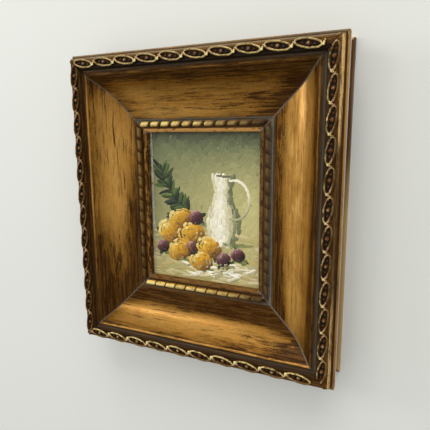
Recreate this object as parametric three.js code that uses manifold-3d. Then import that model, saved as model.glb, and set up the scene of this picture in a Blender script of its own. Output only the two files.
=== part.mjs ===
// Framed oil painting: a small painted board in a deep scooped frame of four mitred rails.
// A chain of pointed ovals runs along the outer edge and a row of reels along the sight edge.
// Millimetres, +Z up. The wall is the plane y = 0 and the picture faces -Y. The origin is on the
// back of the top rail, midway along it, where the frame lies against the wall.
import * as THREE from "three";
import { mergeVertices } from "three/addons/utils/BufferGeometryUtils.js";
import Module from "manifold-3d";

const wasm = await Module();
wasm.setup();

// Outline of the whole frame
const frameWidth = 216;
const frameHeight = 239;
const mitreGap = 0.25; // taken off each end of a rail, along its length

// Section of a rail. "in" is measured inwards from the outer edge, "out" outwards from the wall.
const foot = { in: 0.2, out: 3.4, round: 0.8 }; // flange at the wall, flush with the lip
const waist = { in: 5.5, back: 4.6, front: 20.4 }; // the side is cut in between flange and lip
const lip = { back: 21.8, out: 27.6, crown: 28.5, round: 0.4, width: 1.1 }; // outermost edge
const lipGroove = { in: 1.7, out: 27.9, width: 0.5 };
const seat = { in: 3.4, out: 35, width: 8.3, chamfer: 0.3 }; // flat band under the ovals
const chainGroove = { out: 32.1, width: 0.9, taper: 0.9 };
const fillet = { edge: 16.4, round: 0.9, drop: 0.5 };
const cove = { radius: 18, steepest: 48.5, easiest: 5, end: 36 }; // angles in degrees
const shelf = { end: 50.8, out: 17.6 };
const reelSeat = { in: 51.4, out: 16.9, width: 5.2 };
const sightGroove = { in: 57.1, out: 16.1 };
const sightLip = { in: 57.7, edge: 60.4, out: 17.3, round: 0.7, back: 12.3 };
const rebate = { in: 56.7 };
const hollow = { out: 9, inner: 36, outer: 22.8 }; // the back is cut away under the shelf

// Chain of pointed ovals on the seat, each leaning across the chain by the same angle in degrees
const oval = { in: 7.5, length: 18.4, width: 6.8, rim: 1.2, height: 1.9, lean: 12, arcSteps: 5 };
const ovalsAcross = { count: 10, pitch: 19.5 };
const ovalsUp = { count: 12, pitch: 18.8 };
const chainShift = 3.2; // the chain is off centre on the level rails, to the left on both
const ovalBead = { radius: 1.2, sink: 0.2, sides: 6, rings: 3 };
const sideBead = { radius: 0.9, sink: 0.1, sides: 4, rings: 2, away: 3.9 };
const tie = { halfLength: 0.8, halfWidth: 2.7, halfHeight: 1.6 };

// Row of reels beside the sight edge
const reel = { in: 54, out: 17.2, length: 8.7, radius: 2.3, endRadius: 1.6, shoulder: 1.1, sides: 8 };
const reelsAcross = { count: 11, pitch: 9.4 };
const reelsUp = { count: 13, pitch: 9.7 };

// Painted board
const board = { width: 101, height: 124, thickness: 3, gap: 0.3 };

const sunk = 0.6; // how far applied carving goes into the wood
const curveSteps = 8;
const towardsWall = 1.5 * Math.PI; // direction of the wall in the drawing of a rail's section
const weld = 1e-4;
const ovalLean = THREE.MathUtils.degToRad(oval.lean);

// The mount is midway across the flat back of the top rail.
const mountIn = (foot.in + hollow.outer) / 2;
const middleZ = mountIn - frameHeight / 2;

const giltWood = { color: 0x8f632c, roughness: 0.5, metalness: 0.35 };
const paintedBoard = { color: 0xb4b88c, roughness: 0.55, metalness: 0 };

// A closed surface as a solid that can be joined to another.
function solidOf(geometry) {
  const bare = geometry.clone();
  bare.deleteAttribute("normal");
  bare.deleteAttribute("uv");
  const welded = mergeVertices(bare, weld);
  const vertProperties = new Float32Array(welded.attributes.position.array);
  const triVerts = new Uint32Array(welded.index.array);
  return new wasm.Manifold(new wasm.Mesh({ numProp: 3, vertProperties, triVerts }));
}

function geometryOf(solid) {
  const mesh = solid.getMesh();
  const geometry = new THREE.BufferGeometry();
  geometry.setAttribute("position", new THREE.BufferAttribute(mesh.vertProperties, 3));
  geometry.setIndex(new THREE.BufferAttribute(mesh.triVerts, 1));
  geometry.computeVertexNormals();
  return geometry;
}

// The rail's section, drawn from the back of the foot over the front to the rebate and back.
function railSection() {
  const steepest = THREE.MathUtils.degToRad(cove.steepest);
  const easiest = THREE.MathUtils.degToRad(cove.easiest);
  const shelfStart = shelf.out + Math.tan(easiest) * (shelf.end - cove.end);
  const centreIn = cove.end + cove.radius * Math.sin(easiest);
  const centreOut = shelfStart + cove.radius * Math.cos(easiest);
  const coveStartIn = centreIn - cove.radius * Math.sin(steepest);
  const coveStartOut = centreOut - cove.radius * Math.cos(steepest);
  const filletOut = coveStartOut + Math.tan(steepest) * (coveStartIn - fillet.edge);
  const seatEnd = seat.in + seat.width;
  const grooveStart = seatEnd + chainGroove.taper;
  const grooveEnd = grooveStart + chainGroove.width;

  const section = new THREE.Shape();
  section.moveTo(foot.in, 0);
  section.lineTo(foot.in, foot.out - foot.round);
  section.lineTo(foot.in + foot.round, foot.out);
  section.lineTo(waist.in, waist.back);
  section.lineTo(waist.in, waist.front);
  section.lineTo(0, lip.back);
  section.lineTo(0, lip.out);
  section.lineTo(lip.round, lip.crown);
  section.lineTo(lip.width, lip.crown);
  section.lineTo(lipGroove.in, lipGroove.out);
  section.lineTo(lipGroove.in + lipGroove.width, lipGroove.out + lipGroove.width);
  section.lineTo(seat.in - seat.chamfer, seat.out - seat.chamfer);
  section.lineTo(seat.in, seat.out);
  section.lineTo(seatEnd, seat.out);
  section.lineTo(grooveStart, chainGroove.out);
  section.lineTo(grooveEnd, chainGroove.out);
  section.lineTo(grooveEnd + chainGroove.taper, filletOut - fillet.drop);
  section.lineTo(fillet.edge - fillet.round, filletOut);
  section.lineTo(fillet.edge, filletOut);
  section.absarc(centreIn, centreOut, cove.radius, towardsWall - steepest, towardsWall - easiest);
  section.lineTo(shelf.end, shelf.out);
  section.lineTo(reelSeat.in, reelSeat.out);
  section.lineTo(reelSeat.in + reelSeat.width, reelSeat.out);
  section.lineTo(sightGroove.in, sightGroove.out);
  section.lineTo(sightLip.in, sightLip.out);
  section.lineTo(sightLip.edge - sightLip.round, sightLip.out);
  section.lineTo(sightLip.edge, sightLip.out - sightLip.round);
  section.lineTo(sightLip.edge, sightLip.back);
  section.lineTo(rebate.in, sightLip.back);
  section.lineTo(rebate.in, hollow.out);
  section.lineTo(hollow.inner, hollow.out);
  section.lineTo(hollow.outer, 0);
  return section;
}

// The bare moulding along X, lying as a bottom rail does, with both ends cut at 45 degrees.
// reach is from the frame's middle to the rail's outer edge.
function mouldingSolid(length, reach) {
  const geometry = new THREE.ExtrudeGeometry(railSection(), {
    depth: 1,
    bevelEnabled: false,
    curveSegments: curveSteps,
  });
  const position = geometry.attributes.position;
  for (let i = 0; i < position.count; i++) {
    const inwards = position.getX(i);
    const outwards = position.getY(i);
    const side = 2 * position.getZ(i) - 1;
    const halfLength = length / 2 - inwards - mitreGap;
    position.setXYZ(i, side * halfLength, -outwards, inwards - reach);
  }
  return solidOf(geometry);
}

// A pointed oval as two arcs that meet at its tips.
function ovalPoints(length, width) {
  const half = length / 2;
  const rise = width / 2;
  const radius = (half * half + rise * rise) / (2 * rise);
  const halfAngle = Math.asin(half / radius);
  const points = [];
  for (const side of [1, -1]) {
    for (let i = 0; i < oval.arcSteps; i++) {
      const angle = halfAngle * (1 - (2 * i) / oval.arcSteps);
      const along = radius * Math.sin(angle);
      const across = radius * Math.cos(angle) - radius + rise;
      points.push(new THREE.Vector2(side * along, side * across));
    }
  }
  return points;
}

function ovalGeometry() {
  const ring = new THREE.Shape(ovalPoints(oval.length, oval.width));
  const tipRim = (oval.rim * oval.length) / oval.width;
  ring.holes.push(new THREE.Path(ovalPoints(oval.length - 2 * tipRim, oval.width - 2 * oval.rim)));
  const geometry = new THREE.ExtrudeGeometry(ring, {
    depth: oval.height + sunk,
    bevelEnabled: false,
  });
  return geometry.rotateX(Math.PI / 2).rotateY(ovalLean).translate(0, sunk, 0);
}

function beadGeometry({ radius, sink, sides, rings }) {
  return new THREE.SphereGeometry(radius, sides, rings).translate(0, sink, 0);
}

// A tie is a small gable across the chain, between the tips of two ovals.
function tieGeometry() {
  return new THREE.OctahedronGeometry(1).scale(tie.halfLength, tie.halfHeight, tie.halfWidth);
}

// A reel is a short barrel along X with rounded shoulders.
function reelGeometry() {
  const half = reel.length / 2;
  const profile = [
    new THREE.Vector2(0, -half),
    new THREE.Vector2(reel.endRadius, -half),
    new THREE.Vector2(reel.radius, -half + reel.shoulder),
    new THREE.Vector2(reel.radius, half - reel.shoulder),
    new THREE.Vector2(reel.endRadius, half),
    new THREE.Vector2(0, half),
  ];
  return new THREE.LatheGeometry(profile, reel.sides).rotateZ(-Math.PI / 2);
}

// Places along a rail of a row whose middle is at shift.
function rowPlaces({ count, pitch }, shift = 0) {
  return Array.from({ length: count }, (_, i) => shift + (i - (count - 1) / 2) * pitch);
}

// One carved rail: the moulding with its chain of ovals and its row of reels.
function railGeometry(length, reach, ovals, shift, reels) {
  let rail = mouldingSolid(length, reach);
  const chainZ = oval.in - reach;
  const addAt = (geometry, x, out, z) => {
    rail = rail.add(solidOf(geometry.clone().translate(x, -out, z)));
  };
  const ring = ovalGeometry();
  const middleBead = beadGeometry(ovalBead);
  const smallBead = beadGeometry(sideBead);
  const beadAlong = sideBead.away * Math.cos(ovalLean);
  const beadAcross = sideBead.away * Math.sin(ovalLean);
  for (const x of rowPlaces(ovals, shift)) {
    addAt(ring, x, seat.out, chainZ);
    addAt(middleBead, x, seat.out, chainZ);
    addAt(smallBead, x - beadAlong, seat.out, chainZ + beadAcross);
    addAt(smallBead, x + beadAlong, seat.out, chainZ - beadAcross);
  }
  const joint = tieGeometry();
  for (const x of rowPlaces({ count: ovals.count - 1, pitch: ovals.pitch }, shift)) {
    addAt(joint, x, seat.out, chainZ);
  }
  const barrel = reelGeometry();
  for (const x of rowPlaces(reels)) {
    addAt(barrel, x, reel.out, reel.in - reach);
  }
  // An oval that runs past the mitre is cut off with it.
  const mitre = length / 2 - reach - mitreGap;
  for (const side of [1, -1]) {
    rail = rail.trimByPlane([-side * Math.SQRT1_2, 0, -Math.SQRT1_2], -mitre * Math.SQRT1_2);
  }
  return geometryOf(rail);
}

function railMesh(name, geometry, quarterTurns) {
  const mesh = new THREE.Mesh(geometry, new THREE.MeshStandardMaterial(giltWood));
  mesh.name = name;
  mesh.rotation.y = (quarterTurns * Math.PI) / 2;
  return mesh;
}

function boardMesh() {
  const geometry = new THREE.BoxGeometry(board.width, board.thickness, board.height);
  const mesh = new THREE.Mesh(geometry, new THREE.MeshStandardMaterial(paintedBoard));
  mesh.name = "painted_board";
  mesh.position.y = -(sightLip.back - board.gap - board.thickness / 2);
  return mesh;
}

const bottomRail = railGeometry(frameWidth, frameHeight / 2, ovalsAcross, -chainShift, reelsAcross);
const topRail = railGeometry(frameWidth, frameHeight / 2, ovalsAcross, chainShift, reelsAcross);
const sideRail = railGeometry(frameHeight, frameWidth / 2, ovalsUp, 0, reelsUp);

const painting = new THREE.Group();
painting.position.z = middleZ;
painting.add(railMesh("bottom_rail", bottomRail, 0));
painting.add(railMesh("left_rail", sideRail.clone(), 1));
painting.add(railMesh("top_rail", topRail, 2));
painting.add(railMesh("right_rail", sideRail, 3));
painting.add(boardMesh());

export default painting;
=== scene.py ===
# Framed oil painting: carved gilt rails and a painted board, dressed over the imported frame.
import math
import random

import bmesh
import bpy
from mathutils import Matrix, Vector


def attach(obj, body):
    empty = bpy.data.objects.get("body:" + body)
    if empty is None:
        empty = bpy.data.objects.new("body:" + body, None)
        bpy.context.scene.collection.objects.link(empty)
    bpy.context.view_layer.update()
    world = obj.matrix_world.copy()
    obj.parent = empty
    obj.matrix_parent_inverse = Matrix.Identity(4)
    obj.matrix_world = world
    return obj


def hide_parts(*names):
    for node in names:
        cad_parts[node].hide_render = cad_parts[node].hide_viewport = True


mm = 0.001

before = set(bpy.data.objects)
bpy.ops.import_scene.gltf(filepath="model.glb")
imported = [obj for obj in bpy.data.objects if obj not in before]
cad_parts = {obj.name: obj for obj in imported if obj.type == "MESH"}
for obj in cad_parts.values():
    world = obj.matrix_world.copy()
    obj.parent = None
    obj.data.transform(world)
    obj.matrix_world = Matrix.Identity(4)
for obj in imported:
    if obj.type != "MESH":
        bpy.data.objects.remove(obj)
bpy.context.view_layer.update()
bpy.ops.object.select_all(action="DESELECT")
print("frame loaded")


# sRGB hex to the linear colour that the shaders work in
def colour(hexValue):
    channels = [int(hexValue[i:i + 2], 16) / 255 for i in (1, 3, 5)]
    linear = [c / 12.92 if c <= 0.04045 else ((c + 0.055) / 1.055) ** 2.4 for c in channels]
    return (*linear, 1.0)


# adds a node with its settings and links, and gives back one of its outputs
def addNode(tree, kind, inputs=None, ramp=None, give=0, **settings):
    node = tree.nodes.new(kind)
    for name, value in settings.items():
        setattr(node, name, value)
    if ramp:
        stops = node.color_ramp.elements
        while len(stops) < len(ramp):
            stops.new(1.0)
        for stop, (place, shade) in zip(stops, ramp):
            stop.position = place
            stop.color = shade
    for name, value in (inputs or {}).items():
        if isinstance(value, bpy.types.NodeSocket):
            tree.links.new(value, node.inputs[name])
        else:
            node.inputs[name].default_value = value
    return node if give is None else node.outputs[give]


def newMaterial(name):
    material = bpy.data.materials.new(name)
    material.use_nodes = True
    material.node_tree.nodes.clear()
    return material, material.node_tree


# the last nodes of a material: fine relief of a depth in mm, the shader and the output
def closeMaterial(tree, look, relief, strength, depth):
    bump = addNode(tree, "ShaderNodeBump", {"Strength": strength, "Distance": depth * mm, "Height": relief})
    shader = addNode(tree, "ShaderNodeBsdfPrincipled", look | {"Normal": bump})
    addNode(tree, "ShaderNodeOutputMaterial", {"Surface": shader}, give=None)


# selects the vertices, edges or faces that pass a test, in edit mode
def pick(piece, kind, test):
    bpy.ops.mesh.select_mode(type=kind)
    bpy.ops.mesh.select_all(action="DESELECT")
    shape = bmesh.from_edit_mesh(piece.data)
    for item in {"VERT": shape.verts, "EDGE": shape.edges, "FACE": shape.faces}[kind]:
        if test(item):
            item.select_set(True)
    shape.select_flush_mode()
    bmesh.update_edit_mesh(piece.data)


def startEdit(name):
    piece = bpy.context.object
    piece.name = name
    bpy.ops.object.mode_set(mode="EDIT")
    return piece


def selectOnly(active, *others):
    bpy.ops.object.select_all(action="DESELECT")
    for piece in (active, *others):
        piece.select_set(True)
    bpy.context.view_layer.objects.active = active


# closes a piece: doubles merged, faces outwards, place in the mesh
def endEdit(piece):
    bpy.ops.mesh.select_mode(type="VERT")
    bpy.ops.mesh.select_all(action="SELECT")
    bpy.ops.mesh.remove_doubles(threshold=0.002 * mm)
    bpy.ops.mesh.normals_make_consistent(inside=False)
    bpy.ops.object.mode_set(mode="OBJECT")
    selectOnly(piece)
    bpy.ops.object.transform_apply(location=True, rotation=True, scale=True)
    return piece


# Moulding. Sizes in mm: first inwards from the outer edge, then outwards from the wall.
# The last number of a corner is how far it is rounded.
moulding = {
    "width": 216,
    "height": 239,
    "mitreGap": 0.25,
    "outside": [
        (0.2, 0.0, 0.3), (0.2, 3.4, 1.1), (5.5, 4.6, 0.9), (5.5, 20.4, 0.9), (0.0, 21.8, 0.5),
        (0.0, 28.5, 0.45), (1.1, 28.5, 0.35), (1.7, 27.9, 0.1), (2.2, 28.4, 0.25), (3.4, 35.0, 0.8),
        (11.7, 35.0, 0.4), (12.6, 32.1, 0.2), (13.5, 32.1, 0.2), (14.4, 33.1, 0.2),
    ],
    "filletTop": 15.5,
    "filletEdge": 16.4,
    "cove": {"radius": 18, "steepest": 48.5, "easiest": 5, "end": 36, "steps": 22},
    "inside": [
        (50.8, 17.6, 0.3), (51.4, 16.9, 0.1), (56.6, 16.9, 0.1), (57.1, 16.1, 0.1),
        (57.7, 17.3, 0.4), (60.4, 17.3, 0.9), (60.4, 12.3, 0.2), (56.7, 12.3, 0.0),
        (56.7, 9.0, 0.0), (36.0, 9.0, 0.0), (22.8, 0.0, 0.3),
    ],
    "cornerSteps": 3,
    "cutsAlong": 31,
    "handWobble": 0.035,  # unevenness of hand-sanded gesso
    "bare": {"below": 15, "rebateFrom": 50, "rebateFront": 12.3},  # wood left unpainted, in mm
    "smoothAngle": 38,
}
middleZ = 11.5 - moulding["height"] / 2


# the corner points of the section, with the cove's curve between the fillet and the shelf
def sectionCorners():
    cove = moulding["cove"]
    steepest = math.radians(cove["steepest"])
    easiest = math.radians(cove["easiest"])
    shelfIn, shelfOut, _ = moulding["inside"][0]
    centreIn = cove["end"] + cove["radius"] * math.sin(easiest)
    centreOut = shelfOut + math.tan(easiest) * (shelfIn - cove["end"])
    centreOut += cove["radius"] * math.cos(easiest)
    curve = []
    for step in range(cove["steps"] + 1):
        angle = steepest + (easiest - steepest) * step / cove["steps"]
        inwards = centreIn - cove["radius"] * math.sin(angle)
        curve.append((inwards, centreOut - cove["radius"] * math.cos(angle), 0.0))
    filletOut = curve[0][1] + math.tan(steepest) * (curve[0][0] - moulding["filletEdge"])
    fillet = [(moulding["filletTop"], filletOut, 0.3), (moulding["filletEdge"], filletOut, 0.3)]
    return moulding["outside"] + fillet + curve + moulding["inside"]


# the same section with its corners rounded
def sectionPoints():
    corners = sectionCorners()
    points = []
    for i, (inwards, outwards, rounding) in enumerate(corners):
        here = Vector((0, -outwards, inwards))
        if rounding == 0:
            points.append(here)
            continue
        before = corners[i - 1]
        after = corners[(i + 1) % len(corners)]
        start = here + (Vector((0, -before[1], before[0])) - here).normalized() * rounding
        end = here + (Vector((0, -after[1], after[0])) - here).normalized() * rounding
        for step in range(moulding["cornerSteps"] + 1):
            t = step / moulding["cornerSteps"]
            points.append(start * (1 - t) ** 2 + here * 2 * t * (1 - t) + end * t ** 2)
    return points


# a bare rail along X: the section is drawn point by point, filled, drawn out and cut at 45 degrees
def drawMoulding(name, length):
    half = length / 2 * mm
    points = [p * mm - Vector((half, 0, 0)) for p in sectionPoints()]
    bpy.ops.object.select_all(action="DESELECT")
    bpy.ops.mesh.primitive_plane_add(size=mm, location=points[0])
    rail = startEdit(name)
    bpy.ops.mesh.merge(type="CENTER")
    for here, there in zip(points, points[1:] + points[:1]):
        bpy.ops.mesh.extrude_region_move(TRANSFORM_OT_translate={"value": there - here})
    bpy.ops.mesh.select_all(action="SELECT")
    bpy.ops.mesh.remove_doubles(threshold=0.002 * mm)
    bpy.ops.mesh.edge_face_add()
    bpy.ops.mesh.extrude_region_move(TRANSFORM_OT_translate={"value": (2 * half, 0, 0)})
    pick(rail, "EDGE", lambda e: abs(e.verts[0].co.x - e.verts[1].co.x) > half)
    bpy.ops.mesh.subdivide(number_cuts=moulding["cutsAlong"])
    bpy.ops.mesh.select_all(action="SELECT")
    wobble = moulding["handWobble"] * mm
    bpy.ops.transform.vertex_random(offset=wobble, uniform=0.0, normal=0.0, seed=int(length))
    cutMitres(half)
    return endEdit(rail)


def cutMitres(half):
    for side in (1, -1):
        bpy.ops.mesh.select_all(action="SELECT")
        bpy.ops.mesh.bisect(
            plane_co=(side * (half - moulding["mitreGap"] * mm), 0, 0),
            plane_no=Vector((side, 0, 1)).normalized(),
            use_fill=True,
            clear_outer=True,
        )


# Chain of ovals. One eye is a thick ring with blunt tips and three beads inside it.
eye = {
    "in": 7.5,
    "seat": 35.0,
    "halfLength": 8.5,
    "rise": 2.72,
    "tip": 0.5,  # less than 1 draws the tips in to a point
    "strandHalfWidth": 0.86,
    "strandHalfHeight": 1.25,
    "strandCentre": 0.65,  # above the seat
    "steps": 7,
    "roughCut": 0.2,
    "hollow": (16.2, 5.6, 0.06),  # length, width and height above the seat
    "hollowEdge": 0.5,
    "beadSink": 0.25,
    "knobHeight": 0.7,
    "beads": [(-4.1, 1.2), (0.0, 1.95), (4.1, 1.2)],
    "grains": (10, 6.4, 1.95, 0.45),  # how many, half-length and half-width of their ring, radius
    "lean": 9.0,  # degrees across the chain
    "knobs": [(0.5, 1.4, 1.2), (0.1, 0.2, 1.1), (-0.5, -1.1, 1.0)],  # along, across and radius
    "across": (10, 19.5),
    "up": (12, 18.8),
    "shift": -3.2,  # off centre on the level rails, to the left on both
}


def carveEye(pitch):
    seatY = -eye["seat"] * mm
    middle = Vector((0, seatY - eye["strandCentre"] * mm, 0))
    bpy.ops.object.select_all(action="DESELECT")
    bpy.ops.curve.primitive_bezier_circle_add(radius=mm, location=middle, rotation=(math.pi / 2, 0, 0))
    ring = bpy.context.object
    ring.data.resolution_u = eye["steps"]
    ring.data.bevel_depth = eye["strandHalfWidth"] * mm
    ring.data.bevel_resolution = 2
    bpy.ops.object.mode_set(mode="EDIT")
    bpy.ops.curve.select_all(action="SELECT")
    bpy.ops.transform.resize(value=(eye["halfLength"], 1, eye["rise"]), center_override=middle)
    bpy.ops.object.mode_set(mode="OBJECT")
    for point in ring.data.splines[0].bezier_points:
        if abs(point.co.x) > mm:
            point.handle_left_type = point.handle_right_type = "FREE"
            point.handle_left.y *= eye["tip"]
            point.handle_right.y *= eye["tip"]
    bpy.ops.object.convert(target="MESH")
    piece = startEdit("eyeOfChain")
    bpy.ops.mesh.select_all(action="SELECT")
    taller = eye["strandHalfHeight"] / eye["strandHalfWidth"]
    bpy.ops.transform.resize(value=(1, taller, 1), center_override=middle)
    bpy.ops.transform.vertex_random(offset=eye["roughCut"] * mm, uniform=0.0, normal=0.0, seed=3)
    # beads, sunk a little, and the grains round them
    for x, size in eye["beads"]:
        spot = Vector((x * mm, seatY + eye["beadSink"] * mm, 0))
        bpy.ops.mesh.primitive_uv_sphere_add(segments=10, ring_count=6, radius=size * mm, location=spot)
    count, half, wide, size = eye["grains"]
    for i in range(count):
        angle = 2 * math.pi * (i + 0.5) / count
        spot = Vector((half * math.cos(angle) * mm, seatY, wide * math.sin(angle) * mm))
        bpy.ops.mesh.primitive_ico_sphere_add(subdivisions=1, radius=size * mm, location=spot)
    endEdit(piece)
    lean = Matrix.Rotation(math.radians(eye["lean"]), 4, "Y")
    piece.data.transform(lean)
    # knobs where one oval meets the next, the largest on the picture's side
    bpy.ops.object.mode_set(mode="EDIT")
    for x, z, size in eye["knobs"]:
        spot = Vector(((x - pitch / 2) * mm, seatY - eye["knobHeight"] * mm, z * mm))
        bpy.ops.mesh.primitive_ico_sphere_add(subdivisions=2, radius=size * mm, location=spot)
    endEdit(piece)
    # dark floor of the hollow, as a face of its own
    length, width, above = eye["hollow"]
    middle = (0, seatY - above * mm, 0)
    bpy.ops.object.select_all(action="DESELECT")
    bpy.ops.mesh.primitive_circle_add(
        vertices=24, radius=mm / 2, fill_type="NGON", rotation=(math.pi / 2, 0, 0), location=middle,
    )
    floor = startEdit("hollowOfEye")
    bpy.ops.transform.resize(value=(length, 1, width), center_override=middle)
    bpy.ops.mesh.inset(thickness=eye["hollowEdge"] * mm)
    endEdit(floor)
    floor.data.transform(lean)
    return piece, floor


# Row of reels beside the sight edge: short bolsters, set aslant like the turns of a rope
reel = {
    "in": 54.0,
    "out": 17.25,
    "gap": 0.25,
    "radius": 2.2,
    "shoulder": 0.45,
    "slant": 0.42,
    "sides": 14,
    "across": (11, 9.4),
    "up": (13, 9.7),
}


def carveReel(pitch):
    length = (pitch - reel["gap"]) * mm
    bpy.ops.object.select_all(action="DESELECT")
    bpy.ops.mesh.primitive_cylinder_add(
        vertices=reel["sides"], radius=reel["radius"] * mm, depth=length,
        location=(0, -reel["out"] * mm, 0), rotation=(0, math.pi / 2, 0),
    )
    piece = startEdit("reel")
    pick(piece, "EDGE", lambda e: all(abs(v.co.z) > 0.49 * length for v in e.verts))
    bpy.ops.mesh.bevel(offset=reel["shoulder"] * mm, segments=3, affect="EDGES")
    endEdit(piece)
    for vertex in piece.data.vertices:  # the slant of the rope
        vertex.co.x += reel["slant"] * vertex.co.z
    return piece


# A copy of a carved unit with its own mesh, moved along the rail
def copyTo(unit, x, z):
    twin = unit.copy()
    twin.data = unit.data.copy()
    bpy.context.scene.collection.objects.link(twin)
    twin.location = (x * mm, 0, z * mm)
    return twin


def rowPlaces(count, pitch, shift=0.0):
    return [shift + (i - (count - 1) / 2) * pitch for i in range(count)]


# A leaf that fills the corner between the last eye and the mitre
corner = {
    "leaf": (4.6, 1.5, 1.0),  # half-length along the mitre, half-width, height
    "leafIn": 6.4,
    "fromMitre": 1.5,
}


def carveCorner(length, side):
    seatY = -eye["seat"] * mm
    half = length / 2
    bpy.ops.object.select_all(action="DESELECT")
    long, wide, high = corner["leaf"]
    x = side * (half - corner["leafIn"] - corner["fromMitre"]) * mm
    spot = Vector((x, seatY, corner["leafIn"] * mm))
    bpy.ops.mesh.primitive_uv_sphere_add(segments=10, ring_count=8, radius=mm, location=spot)
    piece = startEdit("cornerLeaf")
    bpy.ops.transform.resize(value=(wide, high, long), center_override=spot)
    lean = math.radians(45) * side
    bpy.ops.transform.rotate(value=lean, orient_axis="Y", center_override=spot)
    endEdit(piece)
    return piece


# Paint on the frame, by place across the section in mm: dirt with painted shade in the cove under the fillet,
# gold and dust from 0 to 1
zones = [
    (0.0, (0.15, 0.80, 0.10)), (1.0, (0.15, 0.85, 0.10)), (1.5, (0.95, 0.00, 0.20)),
    (2.2, (0.85, 0.10, 0.10)), (3.4, (0.80, 0.70, 0.00)), (4.6, (0.95, 0.35, 0.00)),
    (8.6, (1.00, 0.00, 0.00)), (11.6, (1.00, 0.10, 0.10)), (12.2, (1.00, 0.00, 0.30)),
    (12.6, (1.00, 0.00, 0.90)), (14.0, (1.00, 0.00, 0.90)), (14.6, (1.00, 0.00, 0.10)),
    (15.3, (0.80, 0.10, 0.00)),
    (15.8, (0.15, 0.95, 0.00)), (16.6, (0.20, 0.80, 0.00)), (17.2, (0.66, 0.00, 0.00)),
    (19.0, (0.50, 0.00, 0.00)), (21.5, (0.28, 0.00, 0.00)), (25.0, (0.08, 0.00, 0.00)),
    (31.0, (0.02, 0.00, 0.00)), (37.0, (0.12, 0.00, 0.00)), (43.0, (0.32, 0.00, 0.00)),
    (48.0, (0.48, 0.00, 0.00)), (49.7, (0.66, 0.00, 0.10)), (50.5, (0.95, 0.00, 1.00)),
    (51.9, (1.00, 0.00, 1.00)), (52.4, (1.00, 0.00, 0.15)), (55.8, (1.00, 0.00, 0.05)),
    (56.7, (1.00, 0.00, 0.30)), (57.5, (0.95, 0.00, 0.25)), (58.0, (0.80, 0.00, 0.10)),
    (60.4, (0.85, 0.00, 0.05)),
]
zoneSpan = 62.0

gilt = {
    "bronze": [(0.38, colour("#784c0f")), (0.50, colour("#bc862e")), (0.62, colour("#f0c26c"))],
    "glaze": "#5f3b08",
    "umber": [(0.35, colour("#120602")), (0.52, colour("#2a1203")), (0.68, colour("#542c07"))],
    "wash": "#0b0604",
    "gold": "#c8924a",
    # pale gold on the outer slope, partly a painted highlight
    "slopeGoldAndHighlight": "#e6c083",
    "flank": "#5a3f18",
    "bead": "#4a261a",
    # painted highlight on the beads' tops
    "beadHighlight": "#c79a78",
    # pale gold: the painted highlight of the worn crests and of the reels' tops
    "paleGold": "#ecd896",
    "rimGold": "#8f6a30",
    # reel gold, which carries a painted highlight
    "reelGold": "#e6b955",
    "lipGold": "#b98748",
    # pale grey on the lip's outer face: a painted reflection of the white wall
    "gesso": "#cfcdc6",
    "dust": "#74756c",
    "slopeDust": "#97876f",
    "flange": "#bd9860",
    "flangeStain": "#5a3a22",
    "mitreDust": "#8d867c",
    "smear": (32.0, 4.5, 4.5),  # mm along the rail, across it, and outwards
    "scratch": (20.0, 1.3, 1.3),
    "hair": (44.0, 1.7, 1.7),
    "blotch": (34.0, 14.0, 14.0),
    "fleck": (5.0, 2.2, 2.2),
    "speck": (1.3, 0.9, 0.9),
    "fillet": (12.0, 14.0),  # between the seat's gold and the fillet's
    "glazeSpan": (1.36, 1.62, 0.76),  # amount of dirt from, to, and the strongest share
    "smearsSpan": (1.61, 1.76, 0.92),
}

# Bands across the section, in mm: middle and half-width
bands = {
    "onSlope": (0.0, 3.5), "atBeads": (eye["in"], 1.3), "inGroove": (10.4, 1.9),
    "inReels": (54.9, 3.1), "inRow": (reel["in"], 2.7),
}


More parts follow.
